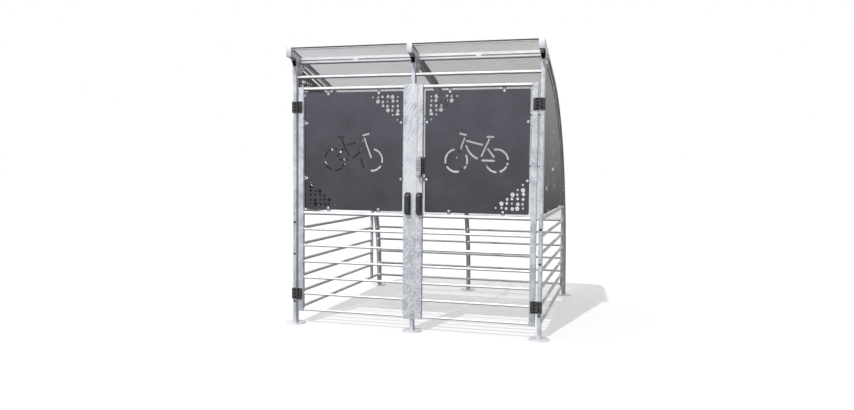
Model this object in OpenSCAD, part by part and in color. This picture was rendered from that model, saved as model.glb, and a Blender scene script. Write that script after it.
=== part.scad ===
// Bike shelter: three bent tube frames carry a curved sheet roof, perforated side
// panels over bar grids, and two hinged front doors. Millimetres, +Z up. X runs along
// the front, Y from the doors to the rear. The origin is on the ground, in the middle
// of the overall box.

/* [Overall] */
// Distance between neighbouring frames, centre to centre
bay = 1000; // [850:10:1300]
// Depth from the front post axis to the outer face of the rear legs
depth = 2110; // [2000:10:2250]
// Radius of the outer face of the arches
arch_r = 2010; // [1950:10:2080]
// Height at which the rear legs start to bend
bend_start = 100; // [80:5:150]
// Slope of the straight front part of the roof, in degrees
roof_slope = 14.5; // [13:0.5:17]

/* [Frame] */
// Width of the front posts, along the front
post_w = 30; // [25:1:40]
// Depth of the front posts
post_d = 50; // [40:1:60]
// Width of the inner arch tubes, along the front
tube_w = 20; // [16:1:24]
// Depth of the inner arch tubes
tube_d = 20; // [16:1:24]
// See-through gap between an arch tube and the band over it
band_gap = 30; // [24:1:36]
// Depth of the outer arch bands that hold the roof sheets
band_d = 20; // [20:1:26]
// Width of the outer arch bands
band_w = 40; // [36:1:46]
// Length of the spacers between tube and band
spacer_l = 50; // [30:1:56]
// Clearance between curved faces that are fixed to one another
seat = 0.2; // [0.1:0.05:0.4]

/* [Head brackets] */
// Reach of the head brackets in front of the post axis
head_reach = 134; // [110:1:150]
// Reach of the cheek plates behind the post axis
cheek_rear = 150; // [110:1:150]
// Thickness of the cheek plates
cheek_t = 5; // [4:0.5:6]
// Height of the front flange
flange_h = 79; // [76:1:85]
// Width of the front flange
flange_w = 43; // [41:0.5:50]
// Thickness of the front flange
flange_t = 4; // [3:0.5:6]
// Radius of the hollow under the cheek plates
cheek_hollow = 65; // [50:1:70]
// Depth of the cheek's slanted rear edge
cheek_slant_d = 90; // [70:1:95]

/* [Feet] */
// Diameter of the round base plates
plate_d = 160; // [150:2:200]
// Thickness of the base plates
plate_t = 10; // [8:1:14]
// Bevel on the upper rim of the base plates
plate_bevel = 3; // [1:0.5:4]
// Diameter of the circle that the anchor holes lie on
anchor_pcd = 120; // [114:1:126]
// Diameter of the anchor holes
anchor_hole = 14; // [10:0.5:16]

/* [Roof] */
// Thickness of the roof sheets
sheet_t = 8; // [6:0.5:10]
// Metal left over the sheet in the band's groove
groove_lip = 4; // [3:0.5:6]
// Depth of the groove that the sheet's edge goes into
groove_d = 12; // [8:1:14]
// Room left at the bottom of the groove
groove_room = 1; // [0.5:0.5:2]
// Height of the lower edge of the sheets
sheet_foot = 770; // [740:5:800]
// Depth of the trim along the front edge of the sheets
trim_d = 14; // [10:1:20]
// Height of that trim
trim_h = 17; // [14:1:20]
// Diameter of the purlins under the sheets
purlin_d = 27; // [21:1:30]
// Depth of the front purlin behind the post axis
purlin_y = 55; // [45:1:75]
// Height of the strip between the sheet and the front purlin
strip_h = 22; // [16:1:26]
// Depth of that strip
strip_d = 14; // [10:1:20]
// Gap between the strip and the front purlin
strip_gap = 7; // [4:0.5:10]
// Length of the clip that joins strip and purlin at mid-span
clip_l = 40; // [30:1:60]
// Depth of that clip
clip_d = 18; // [14:1:20]
// Angle of the upper rear purlin, from the level
upper_purlin_angle = 58; // [54:1:64]
// Angle of the lower rear purlin, from the level
lower_purlin_angle = 38; // [34:1:44]

/* [Bars] */
// Height of the lowest bars
low_bar_z = 119; // [110:1:130]
// Distance between bars, centre to centre
bar_pitch = 132.5; // [128:0.5:136]
// Diameter of the bars in the doors
bar_d = 21; // [16:1:26]
// Diameter of the bars in the sides
side_bar_d = 25; // [20:1:28]
// Diameter of the bars across the rear
rear_bar_d = 20; // [16:1:26]
// Width of the upright at the rear of each side grid
side_stile_w = 25; // [25:1:30]
// Depth of that upright
side_stile_d = 30; // [25:1:40]
// Length that this upright stands past the outer bars
side_stile_end = 4; // [2:1:8]
// Diameter of the lintel tubes over the doors
lintel_d = 27; // [21:1:30]
// Drop from the lower edge of the front flanges to the axis of the lintel tubes
lintel_drop = 147.5; // [145:0.5:165]
// Space between lintel and cheek plates
cheek_clear = 10; // [6:1:14]

/* [Panels] */
// Thickness of the panels
panel_t = 8; // [6:0.5:10]
// Gap between a panel and the straight tubes round it
panel_gap = 15; // [12:1:18]
// Gap between a side panel and the arch tube over it
arch_panel_gap = 20; // [16:1:26]
// Thickness of the fixing lugs
lug_t = 4; // [3:0.5:5]
// Width of the fixing lugs
lug_w = 34; // [24:1:40]
// Length of a lug that lies behind the panel
lug_lap = 26; // [18:1:30]
// Radius of the door panels' corners
corner_r = 12; // [8:1:16]

/* [Cut-outs] */
// Half the distance between the bicycle's hubs
bike_half = 157; // [150:1:165]
// Radius of the bicycle's wheels, at the middle of the slot
wheel_r = 86; // [80:1:90]
// Width of the slots
slot_w = 15; // [10:1:16]
// Metal left between two slots
bridge = 15; // [12:1:20]
// Drop from the middle of a door panel to the bicycle's hubs
bike_drop = 67.5; // [50:0.5:80]
// Length of the side panels' bicycle, as a share of the panel's depth at its hubs
side_bike_share = 0.57; // [0.4:0.01:0.6]
// Height of the side bicycle's hubs above the lower edge of its panel
side_bike_z = 345; // [320:5:380]
// Distance between the middles of the bubbles
bubble_pitch = 41; // [38:0.5:42]
// Distance from a panel's edges to the first bubbles
bubble_margin = 44; // [40:1:60]
// Bubbles along each leg of a corner cluster
bubble_rows = 6; // [3:1:7]

/* [Doors] */
// Drop from the lowest bars' axis to the doors' lower edge
door_drop = 13; // [11:0.5:20]
// Gap between the doors' upper edge and the lintel tubes
door_head_gap = 67.5; // [55:0.5:90]
// Depth of the door stiles
stile_d = 30; // [30:1:36]
// Width of the stiles on the hinge side
hinge_stile_w = 45; // [40:1:50]
// Width of the stiles where the doors meet
meet_stile_w = 40; // [38:1:45]
// Diameter of the top and middle rails
rail_d = 30; // [26:1:30]
// Gap between the hinge stile and its post
hinge_gap = 17; // [16:0.5:20]
// Gap between the left door's stile and the centre post
meet_gap = 15; // [12:1:20]
// Reach of the left door's cover plate past the middle
cover_reach = 37; // [34:1:46]
// Gap between the cover plate and the right door's stile
seam_gap = 6; // [6:0.5:10]
// Thickness of the cover plate
cover_t = 3; // [2:0.5:4]
// Thickness of the packing under the cover plate, which clears the centre post
cover_pack_t = 6; // [5:0.5:9]
// Distance that the cover plate stands past the door at its top and bottom
cover_past = 6; // [2:1:8]

/* [Hinges] */
// Height of the hinges
hinge_h = 90; // [77:1:104]
// Width of one hinge leaf, from the pin's axis
leaf_w = 45; // [40:1:50]
// Thickness of the hinge leaves
leaf_t = 6; // [4:0.5:6]
// Distance from the post's face to the pin's axis
pin_stand = 9; // [9:0.25:11]
// Radius of the hinge knuckles
knuckle_r = 7; // [6:0.25:7.25]
// Number of knuckles on a hinge
knuckles = 7; // [5:2:9]
// Gap between neighbouring knuckles
knuckle_gap = 0.4; // [0.2:0.1:0.8]
// Space between a leaf and the other leaf's knuckles
leaf_room = 1.2; // [1:0.1:2]
// Radius of the hinge pins
pin_r = 3; // [2:0.25:4]
// Radial clearance of the pin in the knuckles
pin_clear = 0.06; // [0.03:0.01:0.1]
// Distance from the doors' upper edge to the middle of the upper hinges
hinge_from_top = 160; // [120:5:220]
// Distance from the doors' lower edge to the middle of the lower hinges
hinge_from_foot = 144; // [120:2:220]

/* [Handles and lock] */
// Height of the pull handles
handle_h = 182; // [160:1:200]
// Width of the pull handles
handle_w = 40; // [24:1:40]
// Projection of the pull handles
handle_out = 48; // [42:1:55]
// Thickness of the grip
grip_t = 13; // [10:1:15]
// Height of each foot of a handle
handle_foot = 26; // [20:1:30]
// Rise of a handle's ends towards the grip
handle_rake = 14; // [8:1:20]
// Height of the handles' lower end above the middle rail's axis
handle_rise = 3; // [0:1:40]
// Width of the lock case
lock_w = 40; // [32:1:40]
// Height of the lock case
lock_h = 160; // [130:1:170]
// Depth of the lock case
lock_d = 42; // [16:1:46]
// Gap between the right handle and the lock case over it
lock_gap = 117; // [80:1:140]
// Diameter of the lock's knob
knob_d = 30; // [24:1:30]
// Projection of the knob from the case
knob_out = 16; // [12:1:30]

/* [Hidden] */
$fn = 48;
arc_fn = 360;

galvanised = "#b8bec4";
anthracite = "#4c494e";
black_plastic = "#26282c";
clear_sheet = "#d5d6d2";
dark_trim = "#5b6066";
bright_steel = "#c9ccd0";

// Arch: centre of the bend, radii of its faces and the angle that it turns through
arc_y = depth - arch_r;
arc_z = bend_start;
arc_angle = 90 - roof_slope;
band_in = arch_r - band_d;
tube_out = band_in - band_gap;
tube_in = tube_out - tube_d;
tube_mid = (tube_in + tube_out) / 2;
sheet_out = arch_r - groove_lip - seat;
sheet_in = sheet_out - sheet_t;
purlin_r = sheet_in - seat - purlin_d / 2;
purlin_l = bay - band_w;
sheet_angle = asin((sheet_foot - arc_z) / sheet_in);
panel_r = tube_in - arch_panel_gap;
spacer_angles = [4, sheet_angle + 12, (sheet_angle + arc_angle) / 2 + 8, arc_angle - 4];

// Head brackets and the lintel tubes under them
head_front = -head_reach - flange_t;
flange_top = roof_z(arch_r, head_front);
flange_foot = flange_top - flange_h;
lintel_z = flange_foot - lintel_drop;

// Doors: planes, edges and levels
door_front = -post_d / 2;
door_y = door_front + stile_d / 2;
plate_face = door_front - cover_pack_t - cover_t;
door_edge = bay - post_w / 2 - hinge_gap;
left_meet = post_w / 2 + meet_gap;
right_meet = cover_reach + seam_gap;
door_bars = 6;
door_foot = low_bar_z - door_drop;
door_top = lintel_z - lintel_d / 2 - door_head_gap;
door_h = door_top - door_foot;
mid_rail_z = low_bar_z + door_bars * bar_pitch;
top_rail_z = door_top - rail_d / 2;
panel_foot = mid_rail_z + rail_d / 2 + panel_gap;
panel_top = top_rail_z - rail_d / 2 - panel_gap;
panel_h = panel_top - panel_foot;
side_panel_foot = mid_rail_z + side_bar_d / 2 + panel_gap;
side_panel_front = post_d / 2 + panel_gap;
side_stile_foot = low_bar_z - side_bar_d / 2 - side_stile_end;
side_stile_top = mid_rail_z + side_bar_d / 2 + side_stile_end;
side_stile_rear = arch_y(tube_in, side_stile_top) - seat;
side_stile_front = side_stile_rear - side_stile_d;
handle_z = mid_rail_z + handle_rise;
lock_z = handle_z + handle_h + lock_gap;
pin_x = bay - post_w / 2 - hinge_gap / 2;
pin_y = door_front - pin_stand;
knuckle_h = hinge_h / knuckles;
rear_bar_count = 5;
bike_top = 210;
side_lug_shares = [0.22, 0.73];
bend_lug_shares = [0.1, 0.45, 0.85];

// Feet and the middle of the overall depth
rear_plate_y = depth - (arch_r - tube_in) / 2;
middle_y = (head_front + rear_plate_y + plate_d / 2) / 2;

// Point where a face at radius r turns from the bend into the straight roof, the
// height of that face in front of it, and the depth of the bend at a height
function turn_y(r) = arc_y + r * cos(arc_angle);
function turn_z(r) = arc_z + r * sin(arc_angle);
function roof_z(r, y) = turn_z(r) + (turn_y(r) - y) * tan(roof_slope);
function arch_y(r, z) = z <= arc_z ? arc_y + r : arc_y + sqrt(r * r - (z - arc_z) * (z - arc_z));
function bar_z(level) = low_bar_z + level * bar_pitch;

// Everything is drawn with the front post axis at Y 0, then set on the origin
module placed() { translate([0, -middle_y, 0]) children(); }

module mirrored() { mirror([1, 0, 0]) children(); }

// A flat outline drawn in depth and height, given a width along X
module across(width) {
  rotate(120, [1, 1, 1]) linear_extrude(width, center = true) children();
}

// A flat outline drawn along the front and in height, given a depth towards the rear
module upright(thick) {
  translate([0, thick, 0]) rotate([90, 0, 0]) linear_extrude(thick) children();
}

// A round bar along X from one end to the other
module bar_x(x0, x1, y, z, d) {
  translate([x0, y, z]) rotate([0, 90, 0]) cylinder(h = x1 - x0, d = d);
}

// A round bar along Y from one end to the other
module bar_y(y0, y1, z, d) {
  translate([0, y0, z]) rotate([-90, 0, 0]) cylinder(h = y1 - y0, d = d);
}

// All that lies under an arch face at radius r, from a front plane and a level up
module under(r, front, foot) {
  polygon([
    [front, foot], [turn_y(r), foot], [turn_y(r), turn_z(r)], [front, roof_z(r, front)]
  ]);
  intersection() {
    translate([arc_y, arc_z]) circle(r = r, $fn = arc_fn);
    translate([turn_y(r), max(arc_z, foot)]) square(r);
  }
  if (foot < arc_z)
    translate([turn_y(r), foot]) square([arc_y + r - turn_y(r), arc_z - foot]);
}

// The stretch of an arch between two of its faces, seen from the side
module arch_outline(r_in, r_out, front, foot) {
  difference() {
    under(r_out, front, foot);
    under(r_in, front - 1, foot - 1);
  }
}

// Front posts, cut to the slope of the arch tube over them
module front_post(x) {
  color(galvanised) placed() translate([x, 0, 0]) across(post_w) polygon([
    [-post_d / 2, plate_t], [post_d / 2, plate_t],
    [post_d / 2, roof_z(tube_in - seat, post_d / 2)],
    [-post_d / 2, roof_z(tube_in - seat, -post_d / 2)]
  ]);
}
module left_front_post() { front_post(-bay); }
module centre_front_post() { front_post(0); }
module right_front_post() { front_post(bay); }

// Inner arch tubes, with the spacers that carry the band
module arch_tube(x) {
  spacer_in = tube_mid;
  spacer_out = band_in - 2 * seat;
  color(galvanised) placed() translate([x, 0, 0]) across(tube_w) {
    arch_outline(tube_in, tube_out, -head_reach, plate_t);
    for (at = spacer_angles)
      translate([arc_y, arc_z]) rotate(at) translate([spacer_in, -spacer_l / 2])
        square([spacer_out - spacer_in, spacer_l]);
  }
}
module left_arch_tube() { arch_tube(-bay); }
module centre_arch_tube() { arch_tube(0); }
module right_arch_tube() { arch_tube(bay); }

// Outer arch bands, grooved on each side that holds a sheet
module arch_band(x, sides) {
  color(galvanised) placed() translate([x, 0, 0]) difference() {
    across(band_w) arch_outline(band_in, arch_r, -head_reach, plate_t);
    for (side = sides)
      translate([side * band_w / 2, 0, 0]) across(2 * groove_d)
        arch_outline(sheet_in - seat, sheet_out + seat, -head_reach - flange_t, sheet_foot - groove_room);
  }
}
module left_arch_band() { arch_band(-bay, [1]); }
module centre_arch_band() { arch_band(0, [-1, 1]); }
module right_arch_band() { arch_band(bay, [-1]); }

// Head brackets: a front flange and two cheeks that clasp the post and carry the band
module cheek_outline() {
  under = band_in - seat;
  rear_edge = roof_z(under, cheek_rear) - cheek_t;
  foot = lintel_z + lintel_d / 2 + cheek_clear;
  post_front = -post_d / 2;
  difference() {
    polygon([
      [-head_reach, roof_z(under, -head_reach)], [cheek_rear, roof_z(under, cheek_rear)],
      [cheek_rear, rear_edge], [cheek_rear - cheek_slant_d, foot], [post_front, foot],
      [post_front, flange_foot - cheek_hollow],
      [post_front - cheek_hollow, flange_foot - cheek_hollow],
      [post_front - cheek_hollow, flange_foot], [-head_reach, flange_foot]
    ]);
    translate([post_front - cheek_hollow, flange_foot - cheek_hollow])
      circle(r = cheek_hollow);
  }
}
module head_bracket(x) {
  color(galvanised) placed() translate([x, 0, 0]) {
    for (side = [-1, 1])
      translate([side * (post_w + cheek_t) / 2, 0, 0]) across(cheek_t) cheek_outline();
    translate([-flange_w / 2, head_front, flange_foot])
      cube([flange_w, flange_t, flange_h]);
  }
}
module left_head_bracket() { head_bracket(-bay); }
module centre_head_bracket() { head_bracket(0); }
module right_head_bracket() { head_bracket(bay); }

// Base plates with four anchor holes each
module base_plates(y) {
  rim = plate_d / 2;
  color(galvanised) placed() for (x = [-bay, 0, bay]) translate([x, y, 0]) difference() {
    rotate_extrude() polygon([
      [0, 0], [rim, 0], [rim, plate_t - plate_bevel],
      [rim - plate_bevel, plate_t], [0, plate_t]
    ]);
    for (turn = [45:90:315]) rotate(turn)
      translate([anchor_pcd / 2, 0, -1]) cylinder(h = plate_t + 2, d = anchor_hole);
  }
}
module front_base_plates() { base_plates(0); }
module rear_base_plates() { base_plates(rear_plate_y); }

// Roof sheets, one to a bay, with their edges in the bands' grooves
module roof_sheet(middle_x) {
  width = bay - band_w + 2 * (groove_d - groove_room);
  color(clear_sheet, 0.6) placed() translate([middle_x, 0, 0])
    across(width) arch_outline(sheet_in, sheet_out, trim_d - head_reach, sheet_foot);
}
module left_roof_sheet() { roof_sheet(-bay / 2); }
module right_roof_sheet() { roof_sheet(bay / 2); }

// Trims that close the front edge of the sheets
module roof_front_trims() {
  low = sheet_out - trim_h;
  rear = trim_d - head_reach;
  color(dark_trim) placed() for (middle = [-bay / 2, bay / 2])
    translate([middle, 0, 0]) across(bay - band_w) polygon([
      [-head_reach, roof_z(low, -head_reach)], [rear, roof_z(low, rear)],
      [rear, roof_z(sheet_out, rear)], [-head_reach, roof_z(sheet_out, -head_reach)]
    ]);
}

// Front purlins: a tube that hangs on a strip under the sheet, and a clip at mid-span
module front_purlin() {
  tube_z = -strip_h - strip_gap - purlin_d / 2;
  translate([-purlin_l / 2, -strip_d / 2, -strip_h]) cube([purlin_l, strip_d, strip_h]);
  translate([-clip_l / 2, -clip_d / 2, tube_z]) cube([clip_l, clip_d, -tube_z - strip_h / 2]);
  bar_x(-purlin_l / 2, purlin_l / 2, 0, tube_z, purlin_d);
}

// Purlins under the sheets: one on the straight roof, three round the bend
module roof_purlins() {
  lowest = sheet_angle + asin(purlin_d / 2 / purlin_r);
  color(galvanised) placed() for (middle = [-bay / 2, bay / 2]) translate([middle, 0, 0]) {
    translate([0, purlin_y, roof_z(sheet_in - seat, purlin_y)]) rotate([-roof_slope, 0, 0])
      front_purlin();
    for (at = [upper_purlin_angle, lower_purlin_angle, lowest])
      bar_x(-purlin_l / 2, purlin_l / 2,
            arc_y + purlin_r * cos(at), arc_z + purlin_r * sin(at), purlin_d);
  }
}

// Lintel tubes between the front posts, over the doors
module lintel_tubes() {
  color(galvanised) placed() for (x0 = [-bay, 0])
    bar_x(x0 + post_w / 2, x0 + bay - post_w / 2, 0, lintel_z, lintel_d);
}

// Bars across the rear, between the legs
module rear_bars() {
  color(galvanised) placed() for (x0 = [-bay, 0], level = [0:rear_bar_count - 1])
    bar_x(x0 + tube_w / 2, x0 + bay - tube_w / 2,
          arch_y(tube_mid, bar_z(level)), bar_z(level), rear_bar_d);
}

// Level bars in the sides, from the front posts to the uprights, and a tie behind each
// upright's foot to the rear leg
module side_bars() {
  tie_end = arch_y(tube_in, bar_z(0) + side_bar_d / 2) - seat;
  translate([bay, 0, 0]) {
    for (level = [0:door_bars]) bar_y(post_d / 2, side_stile_front, bar_z(level), side_bar_d);
    bar_y(side_stile_rear, tie_end, bar_z(0), side_bar_d);
  }
}
module left_side_bars() { color(galvanised) placed() mirrored() side_bars(); }
module right_side_bars() { color(galvanised) placed() side_bars(); }

// Uprights at the rear ends of the side bars, inside the arches
module side_uprights() {
  color(galvanised) placed() for (x = [-bay, bay])
    translate([x - side_stile_w / 2, side_stile_front, side_stile_foot])
      cube([side_stile_w, side_stile_d, side_stile_top - side_stile_foot]);
}

// A slot with round ends between two points, held back from them by one or more bridges
module slot(from, to, from_bridges = 1) {
  run = to - from;
  back = from_bridges * bridge + slot_w / 2;
  reach = norm(run) - back - bridge - slot_w / 2;
  translate(from) rotate(atan2(run[1], run[0])) translate([back, 0]) {
    translate([0, -slot_w / 2]) square([reach, slot_w]);
    circle(d = slot_w);
    translate([reach, 0]) circle(d = slot_w);
  }
}

// A slot along an arc round the origin, between two angles
module arc_slot(radius, from, to) {
  far = 2 * radius;
  middle = (from + to) / 2;
  intersection() {
    difference() {
      circle(r = radius + slot_w / 2);
      circle(r = radius - slot_w / 2);
    }
    polygon([[0, 0], far * [cos(from), sin(from)], far * [cos(middle), sin(middle)],
             far * [cos(to), sin(to)]]);
  }
}

// A plain bicycle sign, heading +X, with its hubs at height 0: each wheel is three arcs
// and stays open where the frame comes in
module bicycle() {
  rear_hub = [-bike_half, 0];
  front_hub = [bike_half, 0];
  rear_arcs = [[75, 175], [190, 255], [270, 340]];
  front_arcs = [[-15, 80], [-105, -30], [150, 240]];
  crank = [-24, 2];
  saddle = [-106, 180];
  saddle_half = [46, 0];
  stay_joint = [-76, 104];
  top_joint = [-66, 115];
  head_joint = [98, 156];
  head_top = [86, 190];
  grips = [106, 200];
  grips_half = [45, 11];
  down_middle = [-70, 160];
  down_r = 157;
  down_arc = [-68, -16];
  translate(rear_hub) for (arc = rear_arcs) arc_slot(wheel_r, arc[0], arc[1]);
  translate(front_hub) for (arc = front_arcs) arc_slot(wheel_r, arc[0], arc[1]);
  translate(down_middle) arc_slot(down_r, down_arc[0], down_arc[1]);
  slot(rear_hub, crank);
  slot(rear_hub, stay_joint, 2);
  slot(crank, saddle, 2);
  slot(top_joint, head_joint);
  slot(head_top, front_hub);
  slot(saddle - saddle_half, saddle + saddle_half);
  slot(grips - grips_half, grips + grips_half);
}

// A triangle of bubbles of mixed sizes in a panel's corner at the origin
module bubbles() {
  sizes = [15, 27, 19, 33, 22];
  sway = 3;
  for (row = [0:bubble_rows - 1], column = [0:bubble_rows - 1 - row])
    translate([
      bubble_margin + column * bubble_pitch + sway * sin(97 * row + 151 * column),
      bubble_margin + row * bubble_pitch * 0.87 + sway * cos(131 * row + 83 * column)
    ]) circle(d = sizes[(2 * row + 3 * column + row * column) % len(sizes)]);
}

// Side panels, whose upper edge runs along the arch tube
module side_panel() {
  cluster = bubble_rows * bubble_pitch;
  rear_at_bubbles = arch_y(panel_r, side_panel_foot + cluster);
  hub_z = side_panel_foot + side_bike_z;
  depth_at_hubs = arch_y(panel_r, hub_z) - side_panel_front;
  enlarged = side_bike_share * depth_at_hubs / (2 * bike_half + 2 * wheel_r + slot_w);
  rear_at_grips = arch_y(panel_r, hub_z + enlarged * bike_top);
  translate([bay, 0, 0]) across(panel_t) difference() {
    under(panel_r, side_panel_front, side_panel_foot);
    translate([(side_panel_front + rear_at_grips) / 2, hub_z]) mirror([1, 0])
      scale(enlarged) bicycle();
    translate([side_panel_front, roof_z(panel_r, side_panel_front) - cluster * tan(roof_slope)])
      mirror([0, 1]) bubbles();
    translate([rear_at_bubbles, side_panel_foot]) mirror([1, 0]) bubbles();
  }
}
module left_side_panel() { color(anthracite) placed() mirrored() side_panel(); }
module right_side_panel() { color(anthracite) placed() side_panel(); }

// Lugs that hold a side panel, flat on its inner face, each at a share of the way along
// the panel's front edge, foot or bend
module side_lugs() {
  inner = bay - panel_t / 2 - lug_t;
  top_bar = mid_rail_z;
  front_h = roof_z(panel_r, side_panel_front) - side_panel_foot;
  foot_l = arch_y(panel_r, side_panel_foot) - side_panel_front;
  foot_angle = asin((side_panel_foot - arc_z) / panel_r);
  // on the post
  for (share = side_lug_shares)
    translate([inner, post_d / 2, side_panel_foot + share * front_h - lug_w / 2])
      cube([lug_t, panel_gap + lug_lap, lug_w]);
  // on the top bar, hollowed to sit on it
  difference() {
    for (share = side_lug_shares)
      translate([inner, side_panel_front + share * foot_l - lug_w / 2, top_bar])
        cube([lug_t, lug_w, side_panel_foot + lug_lap - top_bar]);
    translate([bay, 0, 0]) bar_y(side_panel_front, foot_l, top_bar, side_bar_d + 2 * seat);
  }
  // on the arch tube
  for (share = bend_lug_shares)
    translate([inner, arc_y, arc_z]) rotate([foot_angle + share * (arc_angle - foot_angle), 0, 0])
      translate([0, panel_r - lug_lap, -lug_w / 2])
        cube([lug_t, tube_in - seat - panel_r + lug_lap, lug_w]);
}
module left_side_lugs() { color(galvanised) placed() mirrored() side_lugs(); }
module right_side_lugs() { color(galvanised) placed() side_lugs(); }

// One half of a hinge round the pin's axis, its leaf along +X, with every other knuckle
module hinge_half(first) {
  inner = knuckle_r + leaf_room;
  difference() {
    union() {
      translate([inner, pin_stand - leaf_t, -hinge_h / 2])
        cube([leaf_w - inner, leaf_t, hinge_h]);
      for (k = [first:2:knuckles - 1])
        translate([0, 0, k * knuckle_h - hinge_h / 2 + knuckle_gap / 2]) {
          cylinder(r = knuckle_r, h = knuckle_h - knuckle_gap);
          translate([0, pin_stand - leaf_t, 0])
            cube([inner + leaf_room, knuckle_r - pin_stand + leaf_t, knuckle_h - knuckle_gap]);
        }
    }
    cylinder(r = pin_r + pin_clear, h = hinge_h + 2, center = true);
  }
}
module at_hinges() {
  for (z = [door_foot + hinge_from_foot, door_top - hinge_from_top])
    translate([pin_x, pin_y, z]) children();
}
module post_hinge_leaves() {
  color(black_plastic) placed() {
    at_hinges() hinge_half(0);
    mirrored() at_hinges() hinge_half(0);
  }
}
module hinge_pins() {
  color(bright_steel) placed() {
    at_hinges() cylinder(r = pin_r, h = hinge_h, center = true);
    mirrored() at_hinges() cylinder(r = pin_r, h = hinge_h, center = true);
  }
}
module door_hinge_leaves() {
  color(black_plastic) at_hinges() mirror([1, 0, 0]) hinge_half(1);
}

// Door parts, drawn for a door on the right whose meeting stile starts at meet
module stile(x, width, front = door_front) {
  color(galvanised) translate([x, front, door_foot])
    cube([width, door_front + stile_d - front, door_h]);
}
module door_rails(meet) {
  x0 = meet + meet_stile_w;
  x1 = door_edge - hinge_stile_w;
  color(galvanised) {
    bar_x(x0, x1, door_y, top_rail_z, rail_d);
    bar_x(x0, x1, door_y, mid_rail_z, rail_d);
    for (level = [0:door_bars - 1]) bar_x(x0, x1, door_y, bar_z(level), bar_d);
  }
}
module round_corners(width, tall) {
  translate([corner_r, 0]) square([width - 2 * corner_r, tall]);
  translate([0, corner_r]) square([width, tall - 2 * corner_r]);
  for (x = [corner_r, width - corner_r], z = [corner_r, tall - corner_r])
    translate([x, z]) circle(r = corner_r);
}
module door_panel(meet) {
  x0 = meet + meet_stile_w + panel_gap;
  x1 = door_edge - hinge_stile_w - panel_gap;
  color(anthracite) translate([0, door_y - panel_t / 2, 0]) upright(panel_t) difference() {
    translate([x0, panel_foot]) round_corners(x1 - x0, panel_h);
    translate([(x0 + x1) / 2, (panel_foot + panel_top) / 2 - bike_drop]) mirror([1, 0]) bicycle();
    translate([x0, panel_top]) mirror([0, 1]) bubbles();
    translate([x1, panel_foot]) mirror([1, 0]) bubbles();
  }
}
module door_lugs(meet) {
  back = door_y + panel_t / 2;
  x0 = meet + meet_stile_w;
  x1 = door_edge - hinge_stile_w;
  reach = panel_gap + lug_lap;
  color(galvanised) {
    // on the stiles
    for (share = [0.27, 0.74], x = [x0, x1 - reach])
      translate([x, back, panel_foot + share * panel_h - lug_w / 2]) cube([reach, lug_t, lug_w]);
    // on the rails, hollowed to sit on them
    for (share = [0.25, 0.75]) difference() {
      translate([x0 + share * (x1 - x0) - lug_w / 2, back, 0]) {
        translate([0, 0, mid_rail_z]) cube([lug_w, lug_t, panel_foot + lug_lap - mid_rail_z]);
        translate([0, 0, panel_top - lug_lap])
          cube([lug_w, lug_t, top_rail_z - panel_top + lug_lap]);
      }
      bar_x(x0, x1, door_y, mid_rail_z, rail_d + 2 * seat);
      bar_x(x0, x1, door_y, top_rail_z, rail_d + 2 * seat);
    }
  }
}

// A bow-shaped pull on a face at a given depth
module pull(x, face) {
  inner = handle_out - grip_t;
  color(black_plastic) translate([x, face, handle_z]) across(handle_w) difference() {
    polygon([[0, 0], [-handle_out, handle_rake],
             [-handle_out, handle_h - handle_rake], [0, handle_h]]);
    polygon([[1, handle_foot], [0, handle_foot], [-inner, handle_foot + handle_rake / 2],
             [-inner, handle_h - handle_foot - handle_rake / 2],
             [0, handle_h - handle_foot], [1, handle_h - handle_foot]]);
  }
}

// Left door
module left_door_hinge_stile() {
  placed() mirrored() stile(door_edge - hinge_stile_w, hinge_stile_w);
}
module left_door_meeting_stile() { placed() mirrored() stile(left_meet, meet_stile_w); }
module left_door_cover_plate() {
  color(galvanised) placed() translate([-left_meet - meet_stile_w, door_front, door_foot - cover_past]) {
    translate([0, plate_face - door_front, 0])
      cube([left_meet + meet_stile_w + cover_reach, cover_t, door_h + 2 * cover_past]);
    translate([0, -cover_pack_t, cover_past])
      cube([meet_stile_w, cover_pack_t, door_h]);
  }
}
module left_door_rails() { placed() mirrored() door_rails(left_meet); }
module left_door_panel() { placed() mirrored() door_panel(left_meet); }
module left_door_lugs() { placed() mirrored() door_lugs(left_meet); }
module left_door_handle() { placed() pull(-left_meet, plate_face); }
module left_door_hinge_leaves() { placed() mirrored() door_hinge_leaves(); }

// Right door: the front of its meeting stile is flush with the left door's cover plate
module right_door_hinge_stile() { placed() stile(door_edge - hinge_stile_w, hinge_stile_w); }
module right_door_meeting_stile() { placed() stile(right_meet, meet_stile_w, plate_face); }
module right_door_rails() { placed() door_rails(right_meet); }
module right_door_panel() { placed() door_panel(right_meet); }
module right_door_lugs() { placed() door_lugs(right_meet); }
module right_door_handle() { placed() pull(right_meet + meet_stile_w / 2, plate_face); }
module right_door_hinge_leaves() { placed() door_hinge_leaves(); }

// Lock case with round ends and a turning knob at its foot, on the right door
module door_lock() {
  end_r = lock_w / 2;
  color(bright_steel) placed()
    translate([right_meet + meet_stile_w / 2, plate_face, lock_z + end_r]) {
      translate([0, -lock_d, 0]) upright(lock_d) {
        circle(r = end_r);
        translate([-end_r, 0]) square([lock_w, lock_h - lock_w]);
        translate([0, lock_h - lock_w]) circle(r = end_r);
      }
      translate([0, -lock_d - knob_out, 0]) rotate([-90, 0, 0])
        cylinder(h = knob_out + 1, d = knob_d);
    }
}

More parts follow.
